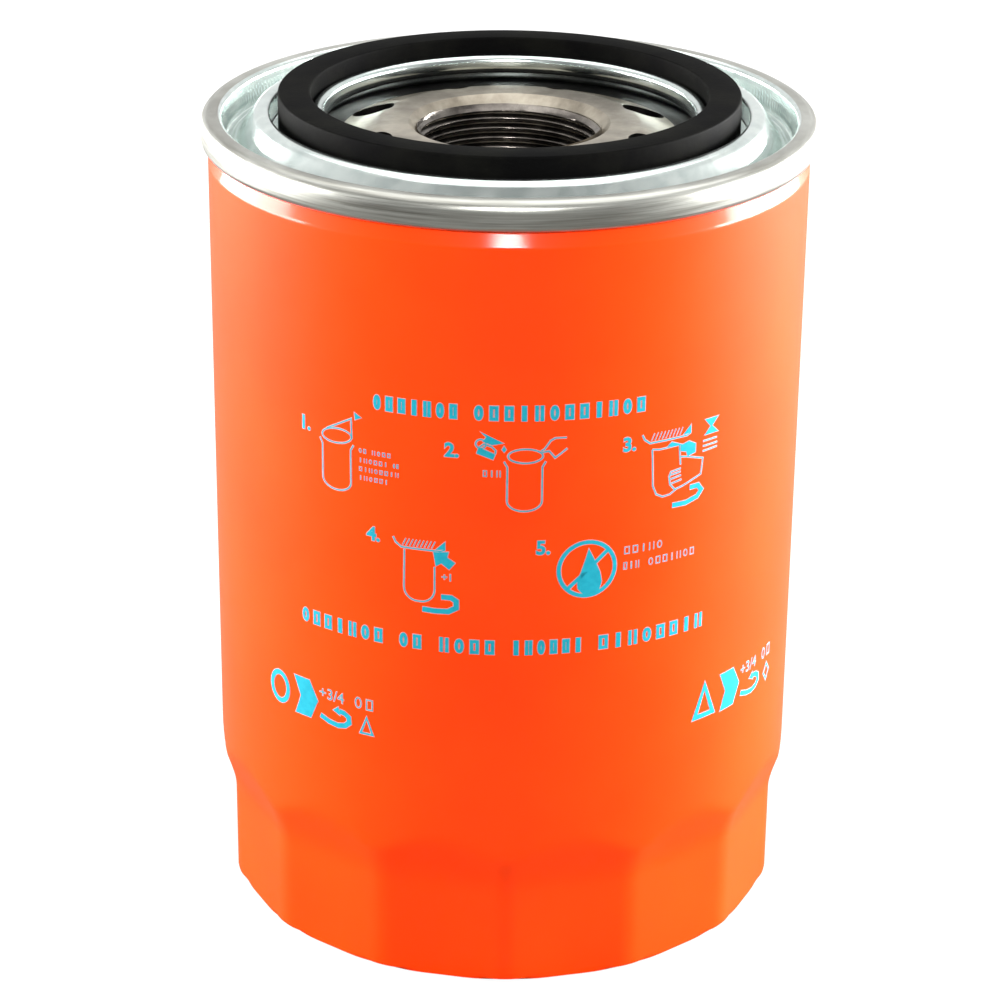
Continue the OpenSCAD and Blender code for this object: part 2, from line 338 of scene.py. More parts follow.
def lidPath():
    s = lidSettings
    outer = seamRadius - sheet / 2
    top = seamTop - sheet / 2
    valley = seamTop - s["valleyDepth"] - sheet / 2
    seat = seamTop - s["gasketSeat"] - sheet / 2
    crest = seamTop + 0.1
    channel = gasketBox[1].x / mm + 1.2 + sheet / 2
    lip = gasketInner - 0.2 - sheet / 2
    hook = chuckRadius + 2 * layer
    hem = arcPath((hook + layer, hemHeight), layer, 180, 360, 10)
    dish = bent([
        (outer, hemHeight + 1.0), (outer, top, 1.25), (chuckRadius, top, 0.8),
        (chuckRadius - 0.22, s["knurlHigh"] + 0.1), (chuckRadius - 0.24, s["knurlHigh"]),
        (chuckRadius - 0.4, (s["knurlHigh"] + s["knurlLow"]) / 2),
        (chuckRadius - 0.52, s["knurlLow"]), (chuckRadius - 0.6, valley, 0.5),
        (43.2, valley + 0.05), (43.1, valley - 0.06),
        (s["valleyRadius"], valley, 0.5), (s["crestRadius"], crest, 1.6), (channel, crest, 0.6),
        (channel, seat, 0.6), (lip, seat, 0.6), (lip, crest + 0.1 - s["curlRadius"])], 7)
    curl = arcPath((lip - s["curlRadius"], crest + 0.1 - s["curlRadius"]), s["curlRadius"], 0, 180, 12)[1:]
    end = [Vector((lip - 2 * s["curlRadius"], crest - 1.2)), Vector((lip - 2 * s["curlRadius"], crest - 2.3))]
    return [Vector((hook, hemHeight + 1.2))] + hem + dish + curl + end


def knurl(bm):
    # Cuts the chuck's grip marks into the foot of the seam's inner wall
    s = lidSettings
    low, high = s["knurlLow"] - 0.01, s["knurlHigh"] + 0.01
    inBand = lambda v: low < v.co.z / mm < high and 43 < polar(v)[0] < 45
    level = [e for e in bm.edges if all(inBand(v) for v in e.verts)
             and abs(e.verts[0].co.z - e.verts[1].co.z) < 1e-6]
    bmesh.ops.subdivide_edges(bm, edges=level, cuts=3, use_grid_fill=True)
    pitch = math.tau / s["steps"]
    middle = (s["knurlLow"] + s["knurlHigh"]) / 2
    for vert in [v for v in bm.verts if inBand(v) and abs(v.co.z / mm - middle) < 0.3]:
        radius, angle, height = polar(vert)
        setRadius(vert, radius + s["knurlDepth"] * math.sin(math.tau * angle / pitch) - s["knurlDepth"])


def buildLid():
    bm = spunShape(lidPath(), lidSettings["steps"])
    knurl(bm)
    for face in bm.faces:
        centre = face.calc_center_median()
        radius = math.hypot(centre.x, centre.y) / mm
        face.material_index = int(radius > chuckRadius + 0.3)   # burnished outside the chuck's wall
    lid = placePiece(bm, "lidPressing", [zincPlate(), rolledSeam()], "housing")
    wallMaker = lid.modifiers.new("wall", "SOLIDIFY")
    wallMaker.thickness = sheet * mm
    wallMaker.offset = 0
    bakeModifiers(lid)
    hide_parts("seaming_lid")
    return lid


buildLid()


# the gasket: a moulded square-section ring

print("moulding the gasket")

gasketSettings = {"steps": 240, "edgeRadius": 0.35}


def nitrile(name, dark, light, roughness, sheen):
    # moulded nitrile: near black, satin, with a dull bloom and moulding specks
    material, shader = startMaterial(name, {"Base Color": paintColor(dark), "Roughness": roughness,
                                            "IOR": 1.5, "Specular IOR Level": sheen})
    place = objectSpace(material)
    bloom = addNode(material, "ShaderNodeTexNoise", {"Scale": 120.0, "Detail": 6.0, "Roughness": 0.65},
                    {"Vector": place})
    tint = addNode(material, "ShaderNodeValToRGB", links={"Fac": bloom})
    tint.color_ramp.elements[0].color = paintColor(dark)
    tint.color_ramp.elements[0].position = 0.4
    tint.color_ramp.elements[1].color = paintColor(light)
    tint.color_ramp.elements[1].position = 0.75
    connect(material, tint, shader, "Base Color")
    grain = addNode(material, "ShaderNodeTexNoise", {"Scale": 1800.0, "Detail": 4.0}, {"Vector": place})
    bump = addNode(material, "ShaderNodeBump", {"Strength": 0.25, "Distance": 0.0001}, {"Height": grain})
    connect(material, bump, shader, "Normal")
    return material


def buildGasket():
    s = gasketSettings
    inner, outer = gasketInner, gasketBox[1].x / mm
    low, high = gasketBox[0].z / mm, gasketBox[1].z / mm
    r = s["edgeRadius"]
    middle = (low + high) / 2
    path = bent([(inner, middle), (inner, low, r), (outer, low, r), (outer, middle - 0.1),
                 (outer, high, r), (inner, high, r), (inner, middle + 0.1)], 4)
    bm = spunShape(path, s["steps"], closed=True)
    ring = placePiece(bm, "gasketRing", [nitrile("mouldedNitrile", "#080808", "#12120F", 0.6, 0.015)],
                      "gasket_ring")
    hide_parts("gasket")
    return ring


buildGasket()


# the base plate: thick pressed steel with inlet holes round a tapped hub

print("tapping the base plate")

plateSettings = {
    "steps": 224,
    "thickness": 3,
    "boss": 20.3,
    "paintedShadeFrom": 26,         # radius where the painted shade under the lid's lip begins
    "hubRadius": 18,
    "majorRadius": 14.29,
    "minorRadius": 13.43,
    "pitch": 1.5875,
    "leadIn": 1.36,
    "footChamfer": 0.8,
    "inlets": 8,
    "inletRadius": 3.3,
    "inletCircle": 23,
}


def plateSteel(name, dark, light, roughLow, roughHigh):
    # bare pressed steel under a film of oil: warm grey, cloudy, with scuffs from the press.
    # The rim under the lid's lip and the walls of the inlet holes get the same steel painted nearly black and
    # dull as painted shade, and the thread in the bore is darker and shinier
    material, shader = startMaterial(name, {"Base Color": paintColor(light), "Metallic": 1.0,
                                            "Roughness": roughLow})
    place = objectSpace(material)
    cloud = addNode(material, "ShaderNodeTexNoise", {"Scale": 170.0, "Detail": 6.0, "Roughness": 0.6},
                    {"Vector": place})
    tint = addNode(material, "ShaderNodeValToRGB", links={"Fac": cloud})
    tint.color_ramp.elements[0].color = paintColor(dark)
    tint.color_ramp.elements[0].position = 0.35
    tint.color_ramp.elements[1].color = paintColor(light)
    tint.color_ramp.elements[1].position = 0.65
    connect(material, tint, shader, "Base Color")
    film = addNode(material, "ShaderNodeMapRange", {"To Min": roughLow, "To Max": roughHigh},
                   {"Value": cloud})
    connect(material, film, shader, "Roughness")
    scuff = addNode(material, "ShaderNodeTexNoise", {"Scale": 1100.0, "Detail": 5.0}, {"Vector": place})
    bump = addNode(material, "ShaderNodeBump", {"Strength": 0.2, "Distance": 0.0001}, {"Height": scuff})
    connect(material, bump, shader, "Normal")
    return material


def buildPlate():
    s = plateSettings
    bottom, top = plateBox[0].z / mm, plateBox[1].z / mm
    under = seamTop - lidSettings["gasketSeat"] - sheet - 0.02
    rim = seamTop - lidSettings["valleyDepth"] - sheet - 0.04
    outer = plateBox[1].x / mm
    bore, lead = s["majorRadius"], s["leadIn"]
    path = bent([
        (bore, top - 9), (bore, bottom + s["footChamfer"]), (bore + s["footChamfer"], bottom),
        (s["hubRadius"], bottom, 0.3),
        (s["hubRadius"], top - s["thickness"], 0.6), (20.6, top - s["thickness"], 2),
        (26.2, under - s["thickness"], 2), (38.6, under - s["thickness"]),
        (40, rim - s["thickness"]), (outer, rim - s["thickness"], 0.3), (outer, rim, 0.3),
        (40.6, rim, 1), (39, under, 1), (26.6, under, 3), (s["boss"], top, 2),
        (bore + lead, top, 0.12), (bore, top - lead)], 6)
    bm = spunShape(path, s["steps"], closed=True)
    steel = plateSteel("oiledPressedSteel", "#7E7669", "#AFA798", 0.26, 0.42)
    # a nearly black copy of the same steel: painted shade on the flat under the lid's lip and on the inlet
    # holes' walls
    shadeSteel = plateSteel("paintedShadeSteel", "#0D0C0C", "#262422", 0.4, 0.6)
    # faces beyond this radius get the nearly black painted shade
    for face in bm.faces:
        centre = face.calc_center_median()
        face.material_index = int(math.hypot(centre.x, centre.y) / mm > s["paintedShadeFrom"])
    plate = placePiece(bm, "basePlate", [steel, shadeSteel], "housing", 32)
    drill = bmesh.new()
    for k in range(s["inlets"]):
        spot = math.tau * (k + 0.5) / s["inlets"] - math.pi / 2
        where = Matrix.Translation((s["inletCircle"] * mm * math.cos(spot),
                                    s["inletCircle"] * mm * math.sin(spot), (top - 4) * mm))
        bmesh.ops.create_cone(drill, cap_ends=True, segments=40, radius1=s["inletRadius"] * mm,
                              radius2=s["inletRadius"] * mm, depth=0.014, matrix=where)
    # the holes' walls get the nearly black steel: painted shade inside the inlet holes
    for face in drill.faces:
        face.material_index = 1
    drillMesh = bpy.data.meshes.new("inletDrill")
    drill.to_mesh(drillMesh)
    drill.free()
    drillObject = bpy.data.objects.new("inletDrill", drillMesh)
    scene.collection.objects.link(drillObject)
    cut = plate.modifiers.new("inlets", "BOOLEAN")
    cut.object = drillObject
    cut.operation = "DIFFERENCE"
    cut.solver = "EXACT"
    bakeModifiers(plate)
    bpy.data.objects.remove(drillObject)
    plate.data.set_sharp_from_angle(angle=math.radians(32))
    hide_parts("base_plate")
    return plate


def buildThread():
    # A ridge of thread form wound up the bore, faded into the lead-in at both ends
    s = plateSettings
    bottom, top = plateBox[0].z / mm, plateBox[1].z / mm
    turns = 11
    perTurn = 96
    start = bottom - 0.3
    root, crest, pitch = s["majorRadius"] + 0.05, s["minorRadius"], s["pitch"]
    bm = bmesh.new()
    shape = bent([(root, -0.47 * pitch), (crest, -0.12 * pitch, 0.15), (crest, 0.12 * pitch, 0.15),
                  (root, 0.47 * pitch)], 3)
    verts = [bm.verts.new((r * mm, 0, (start + z) * mm)) for r, z in shape]
    edges = [bm.edges.new(pair) for pair in zip(verts, verts[1:])]
    steps = turns * perTurn
    bmesh.ops.spin(bm, geom=verts + edges, cent=(0, 0, 0), axis=(0, 0, 1),
                   dvec=(0, 0, pitch * mm / perTurn), angle=math.tau * turns, steps=steps)
    bmesh.ops.recalc_face_normals(bm, faces=bm.faces)
    for vert in bm.verts:
        radius, angle, height = polar(vert)
        mouth = s["majorRadius"] + s["leadIn"] - (top - height)
        foot = s["majorRadius"] + s["footChamfer"] - (height - bottom)
        wall = max(radius, mouth, foot)
        setRadius(vert, min(wall, root))
    cutSteel = plateSteel("cutThreadSteel", "#4B4643", "#8A847D", 0.16, 0.3)
    thread = placePiece(bm, "hubThread", [cutSteel], "housing", 25)
    return thread


buildPlate()
buildThread()


# the printed fitting steps: cyan screen ink with a paler fringe, under the clear coat

print("printing the can")

inkSettings = {
    "paleLift": 0.03,
    "cyanLift": 0.06,
    "fringe": 0.11,          # how far the pale fringe shows round the cyan
    "cutEvery": 1.5,         # strip width, so that the drawing bends with the can
    "line": 0.36,
    "repeats": 4,
    "quarterTurn": 73.3,
}

stepDrawings = {
    "cleanSeat": {
        "cans": [(-30.0, -24.9, 89.6, 81.8)],
        "ovals": [(-27.4, 90.5, 2.65, 1.15, -6)],
        "lines": [[(-29.2, 91.3), (-24.8, 93.7), (-24.7, 90.5)]],
        "shapes": [[(-24.2, 94.8), (-23.1, 94.2), (-24.1, 93.7)]],
    },
    "fillOil": {
        "cans": [(-0.7, 4.45, 89.6, 81.7)],
        "ovals": [(1.95, 90.45, 2.55, 1.1, 0), (-4.6, 92.3, 0.75, 0.7, 0)],
        "lines": [[(-4.8, 91.8), (-4.2, 92.3), (-3.0, 91.9), (-2.4, 91.3), (-2.5, 90.8)],
                  [(4.2, 91.2), (4.7, 91.5), (5.6, 92.8), (6.3, 93.2), (8.0, 93.2)],
                  [(4.3, 91.0), (5.4, 91.2), (5.9, 90.6), (6.3, 90.1), (7.0, 90.6), (8.1, 91.5)]],
        "shapes": [[(-4.9, 91.8), (-5.2, 90.8), (-2.8, 89.9), (-2.5, 90.7)],
                   [(-4.7, 94.2), (-1.3, 92.5), (-2.4, 92.3), (-3.0, 92.2), (-4.3, 92.7), (-3.8, 93.4)],
                   [(-1.2, 92.0), (-0.9, 91.5), (-1.2, 91.1), (-1.5, 91.5)]],
    },
    "handTight": {
        "cans": [],
        "ovals": [],
        "lines": [[(21.5, 89.6), (22.8, 89.4), (26.3, 89.5), (26.6, 86.2)],
                  [(21.5, 89.6), (21.6, 88.6), (21.8, 83.7), (22.4, 82.3), (23.5, 81.7),
                   (24.8, 81.8), (25.9, 82.4)],
                  [(26.6, 87.5), (28.0, 87.2), (30.9, 86.3), (30.6, 83.8), (27.1, 82.7),
                   (25.7, 82.4), (24.8, 83.4), (24.6, 84.7), (24.9, 85.4), (26.7, 85.6)],
                  [(24.8, 84.9), (26.7, 85.1)], [(24.6, 84.2), (26.8, 84.5)], [(25.0, 83.5), (26.9, 83.8)],
                  [(30.8, 89.0), (33.7, 89.0)], [(30.8, 88.2), (33.8, 88.2)], [(30.8, 87.4), (33.8, 87.5)]],
        "shapes": [[(24.1, 89.6), (24.9, 90.2), (26.9, 89.4), (28.1, 89.7), (29.4, 89.0),
                    (29.4, 87.6), (27.9, 87.3), (27.6, 88.1), (26.6, 88.4), (26.5, 89.4)],
                   [(31.1, 92.4), (33.9, 92.4), (32.6, 91.1), (33.9, 89.9), (31.1, 89.9), (32.3, 91.1)]],
    },
    "oneTurn": {
        "cans": [],
        "ovals": [],
        "lines": [bent([(-16.1, 74.4), (-16.2, 66.2, 2.1), (-11.4, 66.2, 2.1), (-11.4, 72.1)], 8)],
        "shapes": [[(-11.6, 74.5), (-9.3, 74.7), (-9.5, 73.8), (-8.3, 73.0), (-9.2, 71.9), (-10.4, 72.8),
                    (-11.2, 72.3)]],
    },
}

blockHatches = [             # the engine block that the filter screws to: left, right, foot and rise
    (20.2, 28.4, 90.7, 1.5),
    (-17.5, -9.8, 74.7, 1.5),
]

hooks = [                    # the arrows that say turn: middle line and width
    ([(25.3, 79.9), (27.8, 79.8), (30.0, 80.3), (30.8, 81.2), (30.1, 82.1), (28.5, 82.1)], 0.95),
    ([(-13.3, 65.0), (-11.4, 64.9), (-9.3, 65.0), (-8.1, 65.7), (-8.1, 66.8), (-8.9, 67.3),
      (-10.4, 67.3)], 1.0),
]

titleWords = [(-21.1, -7.4, 7), (-5.7, 20.9, 12)]
footWords = [(-34.6, -18.9, 7), (-17.0, -12.7, 2), (-10.7, -1.5, 4), (0.3, 11.6, 6), (13.5, 32.8, 8)]
noteWords = [                # left, right, foot, height, marks
    (-23.5, -22.0, 88.6, 0.75, 2), (-21.3, -18.0, 88.6, 0.75, 4), (-23.5, -18.5, 87.1, 0.75, 6),
    (-17.9, -16.8, 87.1, 0.75, 2), (-23.5, -16.7, 85.7, 0.75, 8), (-23.5, -18.4, 84.3, 0.75, 6),
    (-4.3, -1.3, 87.1, 1.1, 3), (17.3, 24.2, 73.4, 1.3, 5), (17.2, 20.2, 70.9, 1.25, 3),
    (21.4, 30.2, 70.9, 1.25, 7),
]


def screenInk(name, dark, light):
    # opaque screen ink under the clear coat: even, with slight starving where the mesh ran dry
    material, shader = startMaterial(name, {
        "Base Color": paintColor(light), "Roughness": 0.5, "IOR": 1.5, "Specular IOR Level": 0.1,
        "Coat Weight": 0.3, "Coat Roughness": 0.11, "Coat IOR": 1.5})
    place = objectSpace(material)
    starve = addNode(material, "ShaderNodeTexNoise", {"Scale": 900.0, "Detail": 3.0}, {"Vector": place})
    tint = addNode(material, "ShaderNodeValToRGB", links={"Fac": starve})
    tint.color_ramp.elements[0].color = paintColor(dark)
    tint.color_ramp.elements[0].position = 0.3
    tint.color_ramp.elements[1].color = paintColor(light)
    tint.color_ramp.elements[1].position = 0.6
    connect(material, tint, shader, "Base Color")
    return material


def strokeOn(bm, points, width, closed=False):
    line = [Vector(p) for p in points]
    count = len(line)
    left, right = [], []
    for i, here in enumerate(line):
        runs = []
        if i or closed:
            runs.append((here - line[i - 1]).normalized())
        if i + 1 < count or closed:
            runs.append((line[(i + 1) % count] - here).normalized())
        along = (runs[0] + runs[-1]).normalized()
        side = Vector((-along.y, along.x))
        reach = width / 2 / max(side.dot(Vector((-runs[0].y, runs[0].x))), 0.5)
        left.append(bm.verts.new((here + side * reach).to_3d()))
        right.append(bm.verts.new((here - side * reach).to_3d()))
    for i in range(count if closed else count - 1):
        j = (i + 1) % count
        bm.faces.new((left[i], right[i], right[j], left[j]))


def drawLine(layers, points, width, closed=False):
    strokeOn(layers["pale"], points, width, closed)
    strokeOn(layers["cyan"], points, max(width - 2 * inkSettings["fringe"], 0.1), closed)


def drawShape(layers, points):
    strokeOn(layers["pale"], points, 2 * inkSettings["fringe"], closed=True)
    layers["cyan"].faces.new([layers["cyan"].verts.new((x, y, 0)) for x, y in points])


def drawOval(layers, x, y, wide, high, turn, width):
    turned = Matrix.Rotation(math.radians(-turn), 2)
    points = [Vector((x, y)) + turned @ Vector((wide * math.cos(a), high * math.sin(a)))
              for a in (math.tau * k / 40 for k in range(40))]
    drawLine(layers, points, width, closed=True)


def drawCan(layers, left, right, top, foot, width):
    # a filter with its mouth up: flared rim, straight sides, round bottom
    middle, half = (left + right) / 2, (right - left) / 2
    bowl = [(middle - half * math.cos(a), foot + 1.6 - 1.6 * math.sin(a)) for a in
            (math.pi * k / 16 for k in range(17))]
    drawLine(layers, [(left - 0.5, top), (left, top - 0.9)] + bowl
             + [(right, top - 0.9), (right + 0.5, top)], width)


def drawWord(layers, left, right, foot, height, count, width):
    # stands for a printed word: open boxes, bars and rings, one for each letter
    pitch = (right - left) / count
    wide, top = pitch * 0.68, foot + height
    for k in range(count):
        x = left + pitch * k
        kind = (k * 3 + count) % 5
        inner = width / 2
        if kind in (0, 3):
            drawLine(layers, [(x + inner, foot + inner), (x + wide - inner, foot + inner),
                              (x + wide - inner, top - inner), (x + inner, top - inner)], width, closed=True)
        elif kind == 1:
            drawLine(layers, [(x + wide / 2, foot), (x + wide / 2, top)], width * 1.3)
        elif kind == 2:
            drawOval(layers, x + wide / 2, foot + height / 2, wide / 2 - inner, height / 2 - inner, 0, width)
        else:
            drawLine(layers, [(x + inner, foot), (x + inner, top)], width)
            drawLine(layers, [(x + wide - inner, foot), (x + wide - inner, top)], width)


def drawNumber(layers, text, left, foot, height, bold=0.06):
    for layer, grow in (("pale", 0.06), ("cyan", -0.04)):
        curve = bpy.data.curves.new("number", "FONT")
        curve.body = text
        curve.size = height / 0.73   # figures stand 0.73 of the size high
        curve.offset = height * bold + grow
        curve.resolution_u = 4
        writing = bpy.data.objects.new("number", curve)
        scene.collection.objects.link(writing)
        depsgraph = bpy.context.evaluated_depsgraph_get()
        shape = bpy.data.meshes.new_from_object(writing.evaluated_get(depsgraph))
        edge = min(v.co.x for v in shape.vertices)
        low = min(v.co.y for v in shape.vertices)
        shape.transform(Matrix.Translation((left - edge - grow, foot - low - grow, 0)))
        layers[layer].from_mesh(shape)
        bpy.data.objects.remove(writing)
        bpy.data.meshes.remove(shape)


def drawHatch(layers, left, right, foot, rise):
    # the underside of an engine block: a foot line, slanted strokes and a solid end
    s = inkSettings
    drawLine(layers, [(left - 0.4, foot + rise), (left, foot + rise * 0.45), (left + 0.9, foot),
                      (right - 0.7, foot), (right, foot + 0.35)], s["line"] * 1.1)
    count = 9
    pitch = (right - left - 2.6) / count
    for k in range(count):
        x = left + 1.1 + pitch * k
        drawLine(layers, [(x, foot + 0.3), (x + 0.55, foot + rise)], s["line"] * 0.6)
    drawShape(layers, [(right - 1.5, foot + 0.2), (right, foot + 0.35), (right, foot + rise + 0.1)])


def wrapOnCan(flat, target, lift, turns=1):
    # cuts the flat drawing into narrow strips and lays it round the can, once or at equal turns
    bmesh.ops.triangulate(flat, faces=flat.faces)
    low = min(v.co.x for v in flat.verts)
    high = max(v.co.x for v in flat.verts)
    x = low + inkSettings["cutEvery"]
    while x < high:
        bmesh.ops.bisect_plane(flat, geom=flat.verts[:] + flat.edges[:] + flat.faces[:], dist=1e-6,
                               plane_co=(x, 0, 0), plane_no=(1, 0, 0))
        x += inkSettings["cutEvery"]
    radius = canRadius + lift
    for vert in flat.verts:
        angle = vert.co.x / canRadius
        vert.co = Vector((radius * math.sin(angle), -radius * math.cos(angle), vert.co.y)) * mm
    flat.normal_update()
    for face in flat.faces:
        centre = face.calc_center_median()
        if face.normal.x * centre.x + face.normal.y * centre.y < 0:
            face.normal_flip()
    drawing = bpy.data.meshes.new("drawing")
    flat.to_mesh(drawing)
    flat.free()
    for k in range(turns):
        drawing.transform(Matrix.Rotation(math.tau / turns if k else 0, 4, "Z"))
        target.from_mesh(drawing)
    bpy.data.meshes.remove(drawing)


def newLayers():
    return {"pale": bmesh.new(), "cyan": bmesh.new()}


def drawSteps():
    s = inkSettings
    layers = newLayers()
    for left, right, count in titleWords:
        drawWord(layers, left, right, 95.9, 2.5, count, 0.72)
    for left, right, count in footWords:
        drawWord(layers, left, right, 58.2, 2.5, count, 0.7)
    for left, right, foot, height, count in noteWords:
        drawWord(layers, left, right, foot, height, count, 0.22 if height > 1 else 0.17)
    for text, left, foot in (("1.", -34.0, 90.0), ("2.", -10.0, 89.9), ("3.", 16.7, 89.9),
                             ("4.", -22.3, 74.8), ("5.", 3.7, 74.6)):
        drawNumber(layers, text, left, foot, 2.2)
    drawNumber(layers, "+1", -10.3, 70.0, 1.2, 0.01)
    for drawing in stepDrawings.values():
        for line in drawing["lines"]:
            drawLine(layers, line, s["line"])
        for shape in drawing["shapes"]:
            drawShape(layers, shape)
        for oval in drawing["ovals"]:
            drawOval(layers, *oval, s["line"])
        for can in drawing["cans"]:
            drawCan(layers, *can, s["line"])
    for block in blockHatches:
        drawHatch(layers, *block)
    for line, width in hooks:
        drawLine(layers, line, width)
    drawOval(layers, 11.5, 71.85, 4.35, 4.35, 0, 0.78)
    drawLine(layers, [(8.5, 68.8), (14.8, 74.7)], 0.75)
    drawShape(layers, [(11.7, 75.1), (11.2, 73.3), (10.6, 71.5), (10.0, 69.9), (10.1, 68.7), (11.0, 67.7),
                       (12.3, 67.5), (13.4, 68.2), (13.8, 69.6), (13.5, 71.2), (12.8, 72.8)])
    return layers


def drawTurnMarks():
    # the lower row, printed four times round: from one mark to the next is three quarters of a turn
    layers = newLayers()
    drawShape(layers, [(-36.6, 48.3), (-33.3, 48.4), (-31.6, 45.3), (-33.1, 42.0), (-36.4, 41.9),
                       (-35.2, 45.1)])
    drawNumber(layers, "+3/4", -31.2, 46.2, 1.9, 0.0)
    drawWord(layers, -24.6, -20.7, 46.2, 2.0, 2, 0.34)
    drawLine(layers, [(-31.1, 43.1), (-29.3, 42.5), (-27.7, 42.3), (-26.4, 42.6), (-25.6, 43.3),
                      (-25.7, 44.2), (-26.5, 44.7), (-27.4, 44.8)], 1.0)
    drawShape(layers, [(-28.6, 44.7), (-27.6, 45.5), (-27.3, 44.1)])
    return layers


def drawKeys():
    # the marks themselves: ring, triangle, diamond and square, each followed by the next one small
    layers = newLayers()
    outlines = [
        [(math.cos(a), math.sin(a)) for a in (math.tau * k / 32 for k in range(32))],
        [(-1, -1), (1, -1), (0, 1.1)],
        [(-1, 0), (0, -1.1), (1, 0), (0, 1.1)],
        [(-0.9, -1), (0.9, -1), (0.9, 1), (-0.9, 1)],
    ]
    for k in range(4):
        for shape, x, y, wide, high, bold in ((k, -40.1, 45.0, 1.95, 2.4, 1.0),
                                              ((k + 1) % 4, -22.5, 43.5, 1.05, 1.3, 0.5)):
            x += inkSettings["quarterTurn"] * k
            drawLine(layers, [(x + wide * u, y + high * v) for u, v in outlines[shape]], bold, closed=True)
    return layers


def printCan():
    s = inkSettings
    inks = {"pale": ("paleInkFringe", screenInk("paleScreenInk", "#9F8B90", "#AC979B"), s["paleLift"]),
            "cyan": ("cyanInk", screenInk("cyanScreenInk", "#168CA0", "#1D96A9"), s["cyanLift"])}
    drawings = [(drawSteps(), 1), (drawTurnMarks(), s["repeats"]), (drawKeys(), 1)]
    for layer, (name, material, lift) in inks.items():
        ink = bmesh.new()
        for layers, turns in drawings:
            wrapOnCan(layers[layer], ink, lift, turns)
        placePiece(ink, name, [material], "housing")


printCan()


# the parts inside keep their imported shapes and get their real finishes

print("finishing the inner parts")


def tinplate():
    # electrolytic tinplate: bright grey sheet with a soft spangle and drawing marks
    material, shader = startMaterial("electrolyticTinplate", {
        "Base Color": paintColor("#C6C8C6"), "Metallic": 1.0, "Roughness": 0.28})
    place = objectSpace(material)
    spangle = addNode(material, "ShaderNodeTexVoronoi", {"Scale": 420.0}, {"Vector": place})
    tint = addNode(material, "ShaderNodeValToRGB", links={"Fac": spangle.outputs["Distance"]})
    tint.color_ramp.elements[0].color = paintColor("#C8CAC7")
    tint.color_ramp.elements[1].color = paintColor("#B9BCBB")
    connect(material, tint, shader, "Base Color")
    rough = addNode(material, "ShaderNodeMapRange", {"To Min": 0.26, "To Max": 0.34},
                    {"Value": spangle.outputs["Distance"]})
    connect(material, rough, shader, "Roughness")
    return material


def plastisol(name, dark, light):
    # cured plastisol: a dull, slightly soft resin with flow marks and pinholes
    material, shader = startMaterial(name, {"Base Color": paintColor(light), "Roughness": 0.55, "IOR": 1.53})
    place = objectSpace(material)
    flow = addNode(material, "ShaderNodeTexNoise", {"Scale": 220.0, "Detail": 4.0}, {"Vector": place})
    tint = addNode(material, "ShaderNodeValToRGB", links={"Fac": flow})
    tint.color_ramp.elements[0].color = paintColor(dark)
    tint.color_ramp.elements[0].position = 0.35
    tint.color_ramp.elements[1].color = paintColor(light)
    tint.color_ramp.elements[1].position = 0.65
    connect(material, tint, shader, "Base Color")
    pinhole = addNode(material, "ShaderNodeTexVoronoi", {"Scale": 900.0}, {"Vector": place})
    bump = addNode(material, "ShaderNodeBump", {"Strength": 0.2, "Distance": 0.0001},
                   {"Height": pinhole.outputs["Distance"]})
    connect(material, bump, shader, "Normal")
    return material


def filterPaper():
    # resin-cured cellulose filter paper: straw coloured, fibrous, creped across the pleats
    material, shader = startMaterial("creaseCuredFilterPaper", {
        "Base Color": paintColor("#D3B57C"), "Roughness": 0.85, "IOR": 1.5})
    place = objectSpace(material)
    fibre = addNode(material, "ShaderNodeTexNoise", {"Scale": 1500.0, "Detail": 6.0, "Roughness": 0.7},
                    {"Vector": place})
    tint = addNode(material, "ShaderNodeValToRGB", links={"Fac": fibre})
    tint.color_ramp.elements[0].color = paintColor("#B08F57")
    tint.color_ramp.elements[0].position = 0.3
    tint.color_ramp.elements[1].color = paintColor("#DDC28D")
    tint.color_ramp.elements[1].position = 0.7
    connect(material, tint, shader, "Base Color")
    crepe = addNode(material, "ShaderNodeTexWave", {"Scale": 210.0, "Distortion": 1.5, "Detail": 2.0},
                    {"Vector": place})   # ribs about 1.5 mm apart
    crepe.bands_direction = "Z"
    bump = addNode(material, "ShaderNodeBump", {"Strength": 0.3, "Distance": 0.0002}, {"Height": crepe})
    connect(material, bump, shader, "Normal")
    return material


def mouldedNylon():
    # glass-filled nylon: ivory, satin, with short flow streaks
    material, shader = startMaterial("glassFilledNylon", {
        "Base Color": paintColor("#D9D3C2"), "Roughness": 0.42, "IOR": 1.53, "Subsurface Weight": 0.1})
    shader.inputs["Subsurface Radius"].default_value = (0.0012, 0.001, 0.0007)
    place = objectSpace(material)
    streak = addNode(material, "ShaderNodeTexNoise", {"Scale": 500.0, "Detail": 5.0}, {"Vector": place})
    tint = addNode(material, "ShaderNodeValToRGB", links={"Fac": streak})
    tint.color_ramp.elements[0].color = paintColor("#CBC4B0")
    tint.color_ramp.elements[1].color = paintColor("#E3DDCD")
    connect(material, tint, shader, "Base Color")
    return material


def springWire():
    # oil-tempered spring wire: blue-black scale drawn to a dull shine
    material, shader = startMaterial("oilTemperedWire", {
        "Base Color": paintColor("#6C6E72"), "Metallic": 1.0, "Roughness": 0.34})
    place = objectSpace(material)
    scale = addNode(material, "ShaderNodeTexNoise", {"Scale": 700.0, "Detail": 4.0}, {"Vector": place})
    tint = addNode(material, "ShaderNodeValToRGB", links={"Fac": scale})
    tint.color_ramp.elements[0].color = paintColor("#4C4E54")
    tint.color_ramp.elements[0].position = 0.35
    tint.color_ramp.elements[1].color = paintColor("#85878A")
    tint.color_ramp.elements[1].position = 0.65
    connect(material, tint, shader, "Base Color")
    return material


